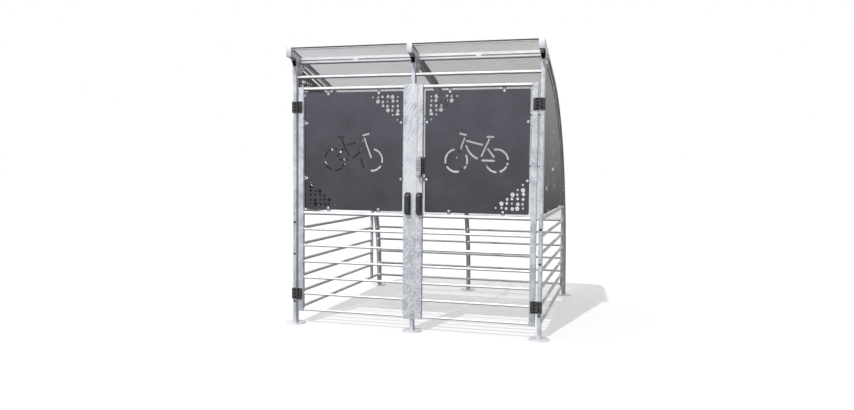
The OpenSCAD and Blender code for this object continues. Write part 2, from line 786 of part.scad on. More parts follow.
left_front_post();
centre_front_post();
right_front_post();
left_arch_tube();
centre_arch_tube();
right_arch_tube();
left_arch_band();
centre_arch_band();
right_arch_band();
left_head_bracket();
centre_head_bracket();
right_head_bracket();
front_base_plates();
rear_base_plates();
left_roof_sheet();
right_roof_sheet();
roof_front_trims();
roof_purlins();
lintel_tubes();
rear_bars();
left_side_bars();
right_side_bars();
side_uprights();
left_side_panel();
right_side_panel();
left_side_lugs();
right_side_lugs();
post_hinge_leaves();
hinge_pins();
left_door_hinge_stile();
left_door_meeting_stile();
left_door_cover_plate();
left_door_rails();
left_door_panel();
left_door_lugs();
left_door_handle();
left_door_hinge_leaves();
right_door_hinge_stile();
right_door_meeting_stile();
right_door_rails();
right_door_panel();
right_door_lugs();
right_door_handle();
right_door_hinge_leaves();
door_lock();
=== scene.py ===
import math

import bmesh
import bpy
from mathutils import Matrix, Vector


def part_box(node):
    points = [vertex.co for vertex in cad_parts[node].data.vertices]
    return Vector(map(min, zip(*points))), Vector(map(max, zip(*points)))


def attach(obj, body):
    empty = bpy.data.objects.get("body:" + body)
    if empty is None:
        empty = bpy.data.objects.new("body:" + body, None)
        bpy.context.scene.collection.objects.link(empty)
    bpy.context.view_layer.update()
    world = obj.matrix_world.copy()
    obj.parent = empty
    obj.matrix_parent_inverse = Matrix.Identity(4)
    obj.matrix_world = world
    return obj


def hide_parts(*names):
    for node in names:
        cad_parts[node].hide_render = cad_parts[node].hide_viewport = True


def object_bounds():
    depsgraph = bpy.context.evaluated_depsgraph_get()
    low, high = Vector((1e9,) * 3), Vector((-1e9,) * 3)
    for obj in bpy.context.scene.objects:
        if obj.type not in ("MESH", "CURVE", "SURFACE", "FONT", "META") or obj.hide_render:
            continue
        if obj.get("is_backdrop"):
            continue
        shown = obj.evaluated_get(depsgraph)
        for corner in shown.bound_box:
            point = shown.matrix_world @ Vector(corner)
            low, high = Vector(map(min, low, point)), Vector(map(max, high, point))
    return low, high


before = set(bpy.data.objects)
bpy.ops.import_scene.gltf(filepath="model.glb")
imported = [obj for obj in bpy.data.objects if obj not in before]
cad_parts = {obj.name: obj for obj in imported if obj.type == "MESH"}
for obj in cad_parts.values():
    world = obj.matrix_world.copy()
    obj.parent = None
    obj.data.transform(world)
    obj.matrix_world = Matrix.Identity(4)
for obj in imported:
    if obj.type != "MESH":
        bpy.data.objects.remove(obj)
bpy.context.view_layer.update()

# Front posts: three upright rectangular steel tubes with rolled corners, hot-dip
# galvanised after welding, so a fine spangle of zinc crystals and pale clouds of patina
# cover them. Each is cut to the roof's slope and welded to its base plate.


class Shade:
    """One output socket of a material's nodes; sums on it add Math nodes."""

    def __init__(self, tree, socket=None):
        self.tree = tree
        self.socket = socket

    def node(self, kind, settings=None, sockets=None, out=0):
        """Any node, from its type, its settings and the values or links of its sockets."""
        made = self.tree.nodes.new("ShaderNode" + kind)
        for name, value in (settings or {}).items():
            setattr(made, name, value)
        for name, value in (sockets or {}).items():
            if isinstance(value, Shade):
                self.tree.links.new(value.socket, made.inputs[name])
            else:
                made.inputs[name].default_value = value
        return Shade(self.tree, made.outputs[out])

    def __add__(self, other):
        return self.node("Math", {"operation": "ADD"}, {0: self, 1: other})

    __radd__ = __add__

    def __sub__(self, other):
        return self.node("Math", {"operation": "SUBTRACT"}, {0: self, 1: other})

    def __rsub__(self, other):
        return self.node("Math", {"operation": "SUBTRACT"}, {0: other, 1: self})

    def __mul__(self, other):
        return self.node("Math", {"operation": "MULTIPLY"}, {0: self, 1: other})

    __rmul__ = __mul__


def finish(name, fixed, varying):
    """A material: fixed values on the shader's sockets, and what varies over the surface."""
    material = bpy.data.materials.new(name)
    material.use_nodes = True
    tree = material.node_tree
    shader = tree.nodes["Principled BSDF"]
    for socket, value in fixed.items():
        shader.inputs[socket].default_value = value
    for socket, value in varying(Shade(tree)).items():
        tree.links.new(value.socket, shader.inputs[socket])
    return material


def stretched(value, low, high):
    """The same number, with low to high spread over 0 to 1."""
    return value.node("MapRange", {}, {"Value": value, "From Min": low, "From Max": high})


def tint(amount, low, high):
    """A colour between two others; the node takes them at its sockets 6 and 7."""
    return amount.node("Mix", {"data_type": "RGBA"}, {0: amount, 6: low, 7: high}, out=2)


def noise(start, where, scale, detail):
    return start.node("TexNoise", {}, {"Vector": where, "Scale": scale, "Detail": detail}, out="Fac")


def flakes(start, where, scale):
    """A level for each zinc crystal; a larger scale makes smaller crystals."""
    crystals = start.node("TexVoronoi", {}, {"Vector": where, "Scale": scale}, out="Color")
    return start.node("SeparateColor", {}, {"Color": crystals}, out="Red")


def bumped(height, strength, distance):
    return height.node("Bump", {}, {"Strength": strength, "Distance": distance, "Height": height})


def part_of(vector, axis):
    """One of a vector's three numbers."""
    return vector.node("SeparateXYZ", {}, {"Vector": vector}, out=axis)


def normal_part(start, axis):
    """How far the surface faces along an axis, from -1 to 1."""
    return part_of(start.node("TexCoord", out="Normal"), axis)


def zinc(low, high, dirt_and_underside_shade):
    """Spangled zinc between two tones, with painted shade darkening its undersides."""
    def varying(start):
        where = start.node("TexCoord", out="Object")
        flake = flakes(start, where, 95.0)
        cloud = stretched(noise(start, where, 13.0, 6.0), 0.34, 0.66)
        speck = stretched(noise(start, where, 420.0, 2.0), 0.3, 0.7)
        level = 0.34 * flake + 0.46 * cloud + 0.2 * speck
        # Painted shade: faces turned downwards are darkened towards near-black, by the given strength.
        painted_underside_shade = dirt_and_underside_shade * stretched(normal_part(start, "Z"), -0.02, -0.6)
        return {
            "Base Color": tint(painted_underside_shade, tint(level, low, high), (0.05, 0.05, 0.055, 1)),
            "Roughness": 0.36 + 0.16 * cloud + 0.1 * flake,
            "Normal": bumped(level, 0.2, 0.0004),
        }
    return varying


# The posts' zinc; its undersides are darkened by painted shade at a strength of 0.4.
galvanised = finish("galvanised_steel", {"Metallic": 0.1},
                    zinc((0.36, 0.39, 0.45, 1), (0.90, 0.93, 0.99, 1), 0.4))


def shown(name, mesh, material, body):
    """A new piece that moves with a body and takes the finish it is given."""
    mesh.materials.clear()
    mesh.materials.append(material)
    piece = bpy.data.objects.new(name, mesh)
    bpy.context.collection.objects.link(piece)
    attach(piece, body)
    return piece


def smoothed(mesh, degrees=38):
    """The same mesh, smooth but for edges that turn by more than some degrees."""
    for face in mesh.polygons:
        face.use_smooth = True
    mesh.set_sharp_from_angle(angle=math.radians(degrees))
    return mesh


def rounded(node, material, body, rounding, steps=2):
    """A copy of a solid with its sharp edges rolled, which stands for that solid."""
    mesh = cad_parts[node].data.copy()
    work = bmesh.new()
    work.from_mesh(mesh)
    bmesh.ops.remove_doubles(work, verts=work.verts, dist=1e-6)
    bmesh.ops.dissolve_limit(work, angle_limit=math.radians(0.4), verts=work.verts, edges=work.edges)
    work.to_mesh(mesh)
    work.free()
    piece = shown(node + "_rolled", mesh, material, body)
    rolled = piece.modifiers.new("rolled_edges", "BEVEL")
    rolled.width = rounding
    rolled.segments = steps
    rolled.limit_method = "ANGLE"
    rolled.angle_limit = math.radians(40)
    seen = piece.evaluated_get(bpy.context.evaluated_depsgraph_get())
    piece.data = smoothed(bpy.data.meshes.new_from_object(seen))
    piece.modifiers.clear()
    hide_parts(node)


frame_sides = ("left", "centre", "right")
post_rounding = 0.004
for side in frame_sides:
    rounded(side + "_front_post", galvanised, "frame", post_rounding, 3)

# Post plugs: black moulded caps pressed into the service holes in the front faces of the
# outer posts, three to a post. Each is a shallow dome with a thin flat rim.


def turned(work, profile, place, sides=24, flutes=0, flute_depth=0.0):
    """A body of revolution: radius and height pairs from the axis to the axis, on +Z of place."""
    rings = []
    for radius, height in profile:
        if radius == 0:
            rings.append([work.verts.new(place @ Vector((0, 0, height)))])
            continue
        ring = []
        for step in range(sides):
            angle = 2 * math.pi * step / sides
            reach = radius - flute_depth * (0.5 - 0.5 * math.cos(flutes * angle))
            spot = Vector((reach * math.cos(angle), reach * math.sin(angle), height))
            ring.append(work.verts.new(place @ spot))
        rings.append(ring)
    for lower, upper in zip(rings, rings[1:]):
        for step in range(sides):
            after = (step + 1) % sides
            corners = [lower[step % len(lower)], lower[after % len(lower)],
                       upper[after % len(upper)], upper[step % len(upper)]]
            kept = [corner for spot, corner in enumerate(corners) if corner not in corners[:spot]]
            if len(kept) > 2:
                work.faces.new(kept)


def closed_mesh(name, work, degrees=38):
    bmesh.ops.recalc_face_normals(work, faces=work.faces)
    mesh = bpy.data.meshes.new(name)
    work.to_mesh(mesh)
    work.free()
    return smoothed(mesh, degrees)


def facing(point, direction):
    """A frame at a point with +Z along a direction."""
    turn = Vector(direction).to_track_quat("Z", "Y").to_matrix().to_4x4()
    return Matrix.Translation(Vector(point)) @ turn


def centre(node):
    """The middle of a solid's box."""
    low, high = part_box(node)
    return (low + high) / 2


def nylon(start):
    where = start.node("TexCoord", out="Object")
    grain = stretched(noise(start, where, 900.0, 3.0), 0.3, 0.7)
    wear = stretched(noise(start, where, 26.0, 5.0), 0.45, 0.75)
    level = 0.35 * grain + 0.65 * wear
    return {
        "Base Color": tint(level, (0.015, 0.018, 0.026, 1), (0.042, 0.049, 0.066, 1)),
        "Roughness": 0.42 + 0.2 * wear - 0.08 * grain,
        "Normal": bumped(grain, 0.25, 0.0003),
    }


black_nylon = finish("black_nylon", {"Specular IOR Level": 0.5}, nylon)
door_sides = ("left", "right")
plug_heights = (0.185, 0.575, 0.835)
plug_profile = ((0, -0.004), (0.0055, -0.004), (0.0055, 0), (0.0098, 0.0001), (0.0100, 0.0008),
                (0.0082, 0.0014), (0.0050, 0.0021), (0, 0.0024))
for side in door_sides:
    post_x = centre(side + "_front_post").x
    post_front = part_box(side + "_front_post")[0].y
    plugs = bmesh.new()
    for height in plug_heights:
        turned(plugs, plug_profile, facing((post_x, post_front, height), (0, -1, 0)))
    shown(side + "_post_plugs", closed_mesh("plugs", plugs), black_nylon, "frame")

# Arches: a square tube bent over a former, and over it a grooved band that clamps the
# edges of the roof sheets. Spacers hold the two apart. Their zinc is painted darker as
# painted shade, for the shade of the roof and panels on the arches.

# Darker zinc for the arches and head bolts: painted shade, with more painted shade on the undersides.
painted_shade_zinc = finish("painted_shade_zinc", {"Metallic": 0.2},
                   zinc((0.36, 0.38, 0.40, 1), (0.66, 0.68, 0.71, 1), 0.5))
tube_rounding = 0.003
band_rounding = 0.0015
for side in frame_sides:
    rounded(side + "_arch_tube", painted_shade_zinc, "frame", tube_rounding)
    rounded(side + "_arch_band", painted_shade_zinc, "frame", band_rounding)

# Base plates: thick round plates with four anchor holes, flame cut, their edges eased. A
# bead of weld runs round each post and each rear leg where it meets its plate.

# A paler, shinier copy of the zinc: painted light for the bright plates, purlins, lintels and door rails.
# Its undersides carry painted shade.
painted_light_white_zinc = finish("painted_light_white_zinc", {"Metallic": 0.5},
                    zinc((0.76, 0.78, 0.81, 1), (0.95, 0.96, 0.99, 1), 0.85))
plate_rounding = 0.0008
for plates in ("front_base_plates", "rear_base_plates"):
    rounded(plates, painted_light_white_zinc, "frame", plate_rounding)


def bead(work, loop, axis, thickness, sides=6):
    """A closed bead of weld with small ripples, along a flat loop of points."""
    turns = [2 * math.pi * part / sides for part in range(sides)]
    rings = []
    for spot, point in enumerate(loop):
        along = (loop[(spot + 1) % len(loop)] - loop[spot - 1]).normalized()
        aside = along.cross(axis)
        ripple = 0.16 * math.sin(2.4 * spot) + 0.08 * math.sin(5.3 * spot)
        size = thickness * (1 + ripple)
        rings.append([work.verts.new(point + size * (math.cos(turn) * axis + math.sin(turn) * aside))
                      for turn in turns])
    for spot, ring in enumerate(rings):
        after = rings[(spot + 1) % len(rings)]
        for part in range(sides):
            work.faces.new((ring[part], ring[part - 1], after[part - 1], after[part]))


def box_loop(low, high, height, count=8):
    """Points round an upright box at a height, a count of them on each side."""
    corners = [Vector((low.x, low.y, height)), Vector((high.x, low.y, height)),
               Vector((high.x, high.y, height)), Vector((low.x, high.y, height))]
    loop = []
    for corner, after in zip(corners, corners[1:] + corners[:1]):
        loop += [corner.lerp(after, (part + 0.5) / count) for part in range(count)]
    return loop


def weld_zinc(start):
    where = start.node("TexCoord", out="Object")
    ripple = stretched(noise(start, where, 260.0, 3.0), 0.3, 0.7)
    scale = stretched(noise(start, where, 40.0, 4.0), 0.35, 0.65)
    level = 0.5 * ripple + 0.5 * scale
    return {
        "Base Color": tint(level, (0.36, 0.38, 0.41, 1), (0.66, 0.68, 0.71, 1)),
        "Roughness": 0.5 + 0.2 * scale,
        "Normal": bumped(ripple, 0.5, 0.0006),
    }


welds_finish = finish("galvanised_weld", {"Metallic": 0.3}, weld_zinc)
up = Vector((0, 0, 1))
leg_depth = 0.020
foot_bead = 0.0032
bead_rise = 0.0005
bead_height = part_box("front_base_plates")[1].z + bead_rise
foot_welds = bmesh.new()
for side in frame_sides:
    low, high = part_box(side + "_front_post")
    bead(foot_welds, box_loop(low, high, bead_height), up, foot_bead)
    low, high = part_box(side + "_arch_tube")
    leg_front = Vector((low.x, high.y - leg_depth, 0))
    bead(foot_welds, box_loop(leg_front, high, bead_height), up, foot_bead)
shown("foot_welds", closed_mesh("foot_welds", foot_welds, 70), welds_finish, "frame")

# Head brackets: two laser-cut cheek plates clasp each post and arch tube and carry a
# narrow flange in front. Hex bolts with washers on both sides go through all of them.

# A paler copy of the zinc for the head brackets: painted light for their flanges, which face the light.
# Undersides carry painted shade.
painted_light_pale_zinc = finish("painted_light_pale_zinc", {"Metallic": 0.5},
                   zinc((0.62, 0.64, 0.68, 1), (0.80, 0.82, 0.87, 1), 0.85))
for side in frame_sides:
    rounded(side + "_head_bracket", painted_light_pale_zinc, "frame", plate_rounding)

washer = ((0, 0), (0.0120, 0), (0.0120, 0.0016), (0.0115, 0.0022), (0, 0.0022))
hex_head = ((0, 0.002), (0.0098, 0.002), (0.0098, 0.0080), (0.0090, 0.0090), (0, 0.0090))
# Each bolt's place behind the post's middle and its height
bolt_places = ((0.004, 2.102), (0.004, 2.056), (0.036, 2.131), (0.098, 2.115))
cheek_thick = 0.005
post_low, post_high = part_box("centre_front_post")
half_post = (post_high.x - post_low.x) / 2
# The bolts take the darker zinc: painted shade for the dark marks they show.
for side in frame_sides:
    middle = centre(side + "_front_post")
    bolts = bmesh.new()
    for away in (-1, 1):
        cheek_x = middle.x + away * (half_post + cheek_thick)
        for back, height in bolt_places:
            place = facing((cheek_x, middle.y + back, height), (away, 0, 0))
            turned(bolts, washer, place)
            turned(bolts, hex_head, place, sides=6)
    shown(side + "_head_bolts", closed_mesh("head_bolts", bolts, 30), painted_shade_zinc, "frame")

# Bracket shade strips: near-black strips bent into the hollow under each head bracket. They
# close the gap between its two cheeks, from behind the flange down to the post, as painted
# shade for the deep shade inside the hollow.


def lofted(work, loops):
    """A skin over loops of points, closed at both ends; the face of the last end."""
    rings = [[work.verts.new(point) for point in loop] for loop in loops]
    for ring, after in zip(rings, rings[1:]):
        for spot in range(len(ring)):
            work.faces.new((ring[spot - 1], ring[spot], after[spot], after[spot - 1]))
    work.faces.new(rings[0])
    return work.faces.new(rings[-1])


def outward(angle):
    """A direction in the plane of an arch, at an angle above level to the rear."""
    return Vector((0, math.cos(angle), math.sin(angle)))


# Near-black painted shade, for strips and pockets that stand for deep shade.
def painted_shade_colours(start):
    where = start.node("TexCoord", out="Object")
    bloom = stretched(noise(start, where, 70.0, 4.0), 0.35, 0.7)
    return {
        "Base Color": tint(bloom, (0.006, 0.006, 0.007, 1), (0.014, 0.014, 0.016, 1)),
        "Roughness": 0.8 + 0.15 * bloom,
    }


painted_shade_black = finish("painted_shade_black", {"Specular IOR Level": 0.08}, painted_shade_colours)
flange_tall = 0.0790
hollow_r = 0.065
shade_strip_gap = 0.0005
shade_strip_r = hollow_r + shade_strip_gap
shade_strip_thick = 0.003
shade_strip_half = 0.0148
shade_strip_start = math.radians(1.5)
shade_strip_sweep = math.radians(87)
shade_strip_steps = 24
shade_strip_corners = ((-shade_strip_half, 0), (shade_strip_half, 0), (shade_strip_half, shade_strip_thick), (-shade_strip_half, shade_strip_thick))
for side in frame_sides:
    low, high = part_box(side + "_front_post")
    flange_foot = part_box(side + "_head_bracket")[1].z - flange_tall
    hollow = Vector(((low.x + high.x) / 2, low.y - hollow_r, flange_foot - hollow_r))
    loops = []
    for step in range(shade_strip_steps + 1):
        out = outward(shade_strip_start + shade_strip_sweep * step / shade_strip_steps)
        loops.append([hollow + Vector((x, 0, 0)) + (shade_strip_r + rise) * out for x, rise in shade_strip_corners])
    shade_strip = bmesh.new()
    lofted(shade_strip, loops)
    mesh = closed_mesh("bracket_shade_strip", shade_strip)
    shown(side + "_bracket_shade_strip", mesh, painted_shade_black, "frame")

# Roof sheets: light grey, slightly see-through extruded sheets with fine ribs from side to
# side, bent cold to the arches. Their edges lie in the bands' grooves.

bend_y = -0.9085
bend_z = 0.100
bend_axis = Vector((0, bend_y, bend_z))
roof_slope = math.radians(14.5)
bend_top = math.pi / 2 - roof_slope
sheet_middle = 2.0018
sheet_thick = 0.008
edge_gap = 0.001
foot_gap = 0.0004
rib_pitch = 0.0125
rib_depth = 0.0009
samples_per_rib = 5


def roof_point(run, straight):
    """The middle of the sheet and its outward direction, a run behind its front edge."""
    if run < straight:
        out = outward(bend_top)
        up_slope = Vector((0, -out.z, out.y))
        return bend_axis + sheet_middle * out + (straight - run) * up_slope, out
    out = outward(bend_top - (run - straight) / sheet_middle)
    return bend_axis + sheet_middle * out, out


def opal_sheet(start):
    where = start.node("TexCoord", out="Object")
    dust = stretched(noise(start, where, 5.0, 7.0), 0.35, 0.7)
    fleck = stretched(noise(start, where, 240.0, 2.0), 0.35, 0.65)
    streaky = start.node("Mapping", {}, {"Vector": where, "Scale": (1.5, 45.0, 45.0)})
    draw = stretched(noise(start, streaky, 3.0, 4.0), 0.3, 0.7)
    level = 0.45 * draw + 0.35 * dust + 0.2 * fleck
    foot = stretched(part_of(where, "Z"), 1.5, 1.1)
    # Painted light: warm tan towards the right and top, cool blue towards the left and foot, for daylight
    # through the sheet.
    painted_glow_and_clarity = stretched(noise(start, where, 1.2, 2.0) - 0.35 * part_of(where, "X") + foot, 0.3, 0.7)
    painted_glow_colour = tint(painted_glow_and_clarity, (0.62, 0.52, 0.38, 1), (0.68, 0.68, 0.86, 1))
    return {
        "Base Color": tint(level, painted_glow_colour, (0.84, 0.83, 0.83, 1)),
        "Roughness": 0.3 + 0.2 * dust,
        "Alpha": 0.36 - 0.06 * painted_glow_and_clarity + 0.06 * (1 - level) - 0.1 * foot,
    }


roof_finish = finish("opal_roof_sheet", {"Specular IOR Level": 0.4}, opal_sheet)
for side in door_sides:
    low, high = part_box(side + "_roof_sheet")
    bend_start = bend_y + sheet_middle * math.cos(bend_top)
    straight = (bend_start - low.y) / math.cos(roof_slope) - edge_gap
    foot_angle = math.asin((low.z - bend_z) / sheet_middle) + foot_gap
    length = straight + sheet_middle * (bend_top - foot_angle)
    count = int(length / rib_pitch * samples_per_rib)
    outline = []
    for face in (1, -1):
        for step in range(count + 1)[::face]:
            run = length * step / count
            middle, out = roof_point(run, straight)
            rib = rib_depth * (0.5 - 0.5 * math.cos(2 * math.pi * run / rib_pitch))
            outline.append(middle + face * (sheet_thick / 2 - rib) * out)
    sheet = bmesh.new()
    ends = [[sheet.verts.new((x, spot.y, spot.z)) for spot in outline] for x in (low.x, high.x)]
    total = len(outline)
    for spot in range(total):
        after = (spot + 1) % total
        sheet.faces.new((ends[0][spot], ends[0][after], ends[1][after], ends[1][spot]))
    for end in ends:
        for step in range(count):
            sheet.faces.new((end[step], end[step + 1], end[total - 2 - step], end[total - 1 - step]))
    mesh = closed_mesh("ribbed_sheet", sheet, 60)
    piece = shown(side + "_ribbed_sheet", mesh, roof_finish, "frame")
    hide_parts(side + "_roof_sheet")

# Roof trims: pale drawn aluminium strips pushed on the front edge of the sheets. A dark
# rubber seal lies along the upper part of each, and faint lines run along both.

seal_foot = 1.9252
seal_fade = 0.0004
trim_rounding = 0.002


def sealed_strip(start):
    where = start.node("TexCoord", out="Object")
    drawn = start.node("Mapping", {}, {"Vector": where, "Scale": (2.0, 160.0, 160.0)})
    line = stretched(noise(start, drawn, 4.0, 3.0), 0.3, 0.7)
    dirt_and_underside_shade = stretched(noise(start, where, 14.0, 5.0), 0.35, 0.7)
    level = 0.5 * line + 0.5 * dirt_and_underside_shade
    above_slope = part_of(where, "Z") + math.tan(roof_slope) * part_of(where, "Y")
    seal = stretched(above_slope, seal_foot - seal_fade, seal_foot + seal_fade)
    metal = tint(level, (0.50, 0.51, 0.53, 1), (0.74, 0.75, 0.77, 1))
    rubber = tint(level, (0.040, 0.043, 0.048, 1), (0.095, 0.10, 0.11, 1))
    return {
        "Base Color": tint(seal, metal, rubber),
        "Metallic": 0.85 - 0.85 * seal,
        "Roughness": 0.42 + 0.18 * dirt_and_underside_shade + 0.2 * seal,
        "Normal": bumped(line, 0.2, 0.0002),
    }


trim_finish = finish("sealed_aluminium_trim", {"Specular IOR Level": 0.4}, sealed_strip)
rounded("roof_front_trims", trim_finish, "frame", trim_rounding)

# Purlins, lintels and rear bars: round galvanised tubes welded between the frames. The
# front purlins hang on a strip with a clip, and small collars close the rear bars' ends.

grid_zinc = finish("grid_zinc", {"Metallic": 0.1},
                   zinc((0.70, 0.72, 0.75, 1), (0.90, 0.91, 0.94, 1), 0.9))


def plain(node, material):
    """A solid that keeps its own mesh and gets a finish."""
    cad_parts[node].data.materials[0] = material


plain("roof_purlins", painted_light_white_zinc)
plain("lintel_tubes", painted_light_white_zinc)
plain("rear_bars", grid_zinc)


def zinc_plate(start):
    where = start.node("TexCoord", out="Object")
    brush = stretched(noise(start, where, 180.0, 4.0), 0.3, 0.7)
    spot = stretched(noise(start, where, 60.0, 3.0), 0.4, 0.7)
    return {
        "Base Color": tint(0.5 * brush + 0.5 * spot, (0.52, 0.53, 0.55, 1), (0.86, 0.87, 0.89, 1)),
        "Roughness": 0.22 + 0.18 * spot,
        "Normal": bumped(brush, 0.15, 0.0002),
    }


bright_zinc = finish("bright_zinc_fixings", {"Metallic": 0.75}, zinc_plate)
bar_pitch = 0.1325
low_bar = 0.119
rear_bar_count = 5
leg_axis = 1.950
leg_low, leg_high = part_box("centre_arch_tube")
half_leg = (leg_high.x - leg_low.x) / 2
frames_x = [centre(side + "_front_post").x for side in frame_sides]
bays = list(zip(frames_x, frames_x[1:]))
collar = ((0, 0), (0.0140, 0), (0.0145, 0.0006), (0.0145, 0.0085), (0.0130, 0.0100),
          (0.0100, 0.0104), (0, 0.0104))
collars = bmesh.new()
for level in range(rear_bar_count):
    height = low_bar + level * bar_pitch
    back = bend_y + math.sqrt(leg_axis ** 2 - (height - bend_z) ** 2)
    for left_x, right_x in bays:
        turned(collars, collar, facing((left_x + half_leg, back, height), (1, 0, 0)))
        turned(collars, collar, facing((right_x - half_leg, back, height), (-1, 0, 0)))
shown("rear_bar_collars", closed_mesh("collars", collars), bright_zinc, "frame")


def round_loop(middle, axis, radius, count=18):
    """Points on a circle about an axis."""
    aside = axis.orthogonal().normalized()
    other = axis.cross(aside)
    angles = [2 * math.pi * step / count for step in range(count)]
    return [middle + radius * (math.cos(angle) * aside + math.sin(angle) * other) for angle in angles]


across = Vector((1, 0, 0))
tube_bead = 0.0026
low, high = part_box("lintel_tubes")
lintel_r = (high.z - low.z) / 2
lintel_welds = bmesh.new()
for left_x, right_x in bays:
    for x in (left_x + half_post, right_x - half_post):
        middle = Vector((x, (low.y + high.y) / 2, (low.z + high.z) / 2))
        bead(lintel_welds, round_loop(middle, across, lintel_r), across, tube_bead)
shown("lintel_welds", closed_mesh("lintel_welds", lintel_welds, 70), welds_finish, "frame")

# Side bars: seven level tubes welded between the front post and an upright inside the
# arch, and a short tie from the upright's foot to the rear leg, all galvanised.

upright_rounding = 0.0025
rounded("side_uprights", galvanised, "frame", upright_rounding)
along = Vector((0, 1, 0))
side_bar_r = 0.0125
side_bar_count = 7
upright_low, upright_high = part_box("side_uprights")
for side in door_sides:
    plain(side + "_side_bars", grid_zinc)
    low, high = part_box(side + "_side_bars")
    ends = [(back, low_bar + level * bar_pitch) for level in range(side_bar_count)
            for back in (low.y, upright_low.y)]
    ends += [(back, low_bar) for back in (upright_high.y, high.y)]
    side_welds = bmesh.new()
    for back, height in ends:
        middle = Vector(((low.x + high.x) / 2, back, height))
        bead(side_welds, round_loop(middle, along, side_bar_r), along, tube_bead)
    mesh = closed_mesh("side_welds", side_welds, 70)
    shown(side + "_side_welds", mesh, welds_finish, "frame")

# Side panels: anthracite compact laminate, 8 mm thick, routed with a bicycle sign and
# bubbles. Dome screws hold each panel to lugs on the post, the top bar and the arch tube.


def laminate(low, high, polish, across_axis, cut_edge_colour):
    """Laminate between two tones, lighter towards its top as painted light and with a clear coat there,
    and a given colour on its cut edges.
    """
    def varying(start):
        where = start.node("TexCoord", out="Object")
        fibre = stretched(noise(start, where, 700.0, 2.0), 0.3, 0.7)
        haze = stretched(noise(start, where, 4.0, 6.0), 0.35, 0.68)
        dust = stretched(noise(start, where, 60.0, 5.0), 0.5, 0.75)
        painted_top_light_and_polish = stretched(part_of(where, "Z"), 0.95, 1.95)
        # Painted light: the upper part is lighter, for the sky's sheen on the panels; the same mask adds
        # the clear coat.
        level = 0.2 * fibre + 0.3 * haze + 0.1 * dust + 0.4 * painted_top_light_and_polish
        flat = start.node("Math", {"operation": "ABSOLUTE"}, {0: normal_part(start, across_axis)})
        face = stretched(flat, 0.5, 0.8)
        return {
            "Base Color": tint(face, cut_edge_colour, tint(level, low, high)),
            "Roughness": 0.58 + 0.12 * haze,
            "Coat Weight": polish * painted_top_light_and_polish,
            "Normal": bumped(fibre, 0.12, 0.0002),
        }
    return varying


# The side panels' cut edges are near-white: painted light, for the bright edges of the routed holes.
dusty_laminate = finish("dusty_laminate", {"Specular IOR Level": 0.1, "Coat Roughness": 0.35},
                        laminate((0.024, 0.022, 0.023, 1), (0.170, 0.157, 0.149, 1), 0.65,
                                 "X", (0.96, 0.94, 0.91, 1)))
screw_dome = ((0, 0), (0.0098, 0), (0.0098, 0.0011), (0.0072, 0.0012), (0.0072, 0.0024),
              (0.0062, 0.0042), (0.0046, 0.0052), (0.0030, 0.0055), (0.0030, 0.0032), (0, 0.0032))
nut = ((0, 0), (0.0066, 0), (0.0066, 0.0052), (0.0060, 0.0058), (0.0031, 0.0058),
       (0.0031, 0.0086), (0, 0.0086))
side_lug_shares = (0.22, 0.73)
bend_lug_shares = (0.1, 0.45, 0.85)
lug_inset = 0.013
panel_bend = 1.920
for side, away in (("left", -1), ("right", 1)):
    plain(side + "_side_panel", dusty_laminate)
    plain(side + "_side_lugs", galvanised)
    low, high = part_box(side + "_side_panel")
    lug_low, lug_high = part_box(side + "_side_lugs")
    outer = high.x if away > 0 else low.x
    inner = lug_low.x if away > 0 else lug_high.x
    places = [(low.y + lug_inset, low.z + share * (high.z - low.z)) for share in side_lug_shares]
    places += [(low.y + share * (high.y - low.y), low.z + lug_inset) for share in side_lug_shares]
    foot_angle = math.asin((low.z - bend_z) / panel_bend)
    for share in bend_lug_shares:
        lug = bend_axis + (panel_bend - lug_inset) * outward(foot_angle + share * (bend_top - foot_angle))
        places.append((lug.y, lug.z))
    screws = bmesh.new()
    for back, height in places:
        turned(screws, screw_dome, facing((outer, back, height), (away, 0, 0)))
        turned(screws, nut, facing((inner, back, height), (-away, 0, 0)), sides=6)
    mesh = closed_mesh("side_screws", screws, 30)
    shown(side + "_side_screws", mesh, bright_zinc, "frame")

# Hinges: four, each of two moulded charcoal leaves on a steel pin. A leaf has a raised comb
# with a finger at each of its own knuckles and, at the others, thin near-black pockets that are
# painted shade for the gaps between the knuckles. Three sunk screws go through each comb
# into the post or the door's stile.


def satin_steel(start):
    where = start.node("TexCoord", out="Object")
    drawn = start.node("Mapping", {}, {"Vector": where, "Scale": (300.0, 300.0, 9.0)})
    brush = stretched(noise(start, drawn, 3.0, 3.0), 0.3, 0.7)
    mark = stretched(noise(start, where, 45.0, 4.0), 0.4, 0.72)
    return {
        "Base Color": tint(0.6 * brush + 0.4 * mark, (0.34, 0.34, 0.35, 1), (0.62, 0.62, 0.63, 1)),
        "Roughness": 0.24 + 0.14 * brush,
        "Normal": bumped(brush, 0.12, 0.0001),
    }


stainless = finish("satin_stainless", {"Metallic": 0.85}, satin_steel)
plain("hinge_pins", stainless)


def charcoal(start):
    where = start.node("TexCoord", out="Object")
    grain = stretched(noise(start, where, 800.0, 3.0), 0.3, 0.7)
    chalk = stretched(noise(start, where, 35.0, 5.0), 0.42, 0.72)
    level = 0.4 * grain + 0.6 * chalk
    return {
        "Base Color": tint(level, (0.036, 0.036, 0.038, 1), (0.090, 0.089, 0.091, 1)),
        "Roughness": 0.5 + 0.2 * chalk,
        "Normal": bumped(grain, 0.3, 0.0003),
    }


hinge_finish = finish("charcoal_hinge", {"Specular IOR Level": 0.4}, charcoal)
for leaves in ("post_hinge_leaves", "left_door_hinge_leaves", "right_door_hinge_leaves"):
    plain(leaves, hinge_finish)

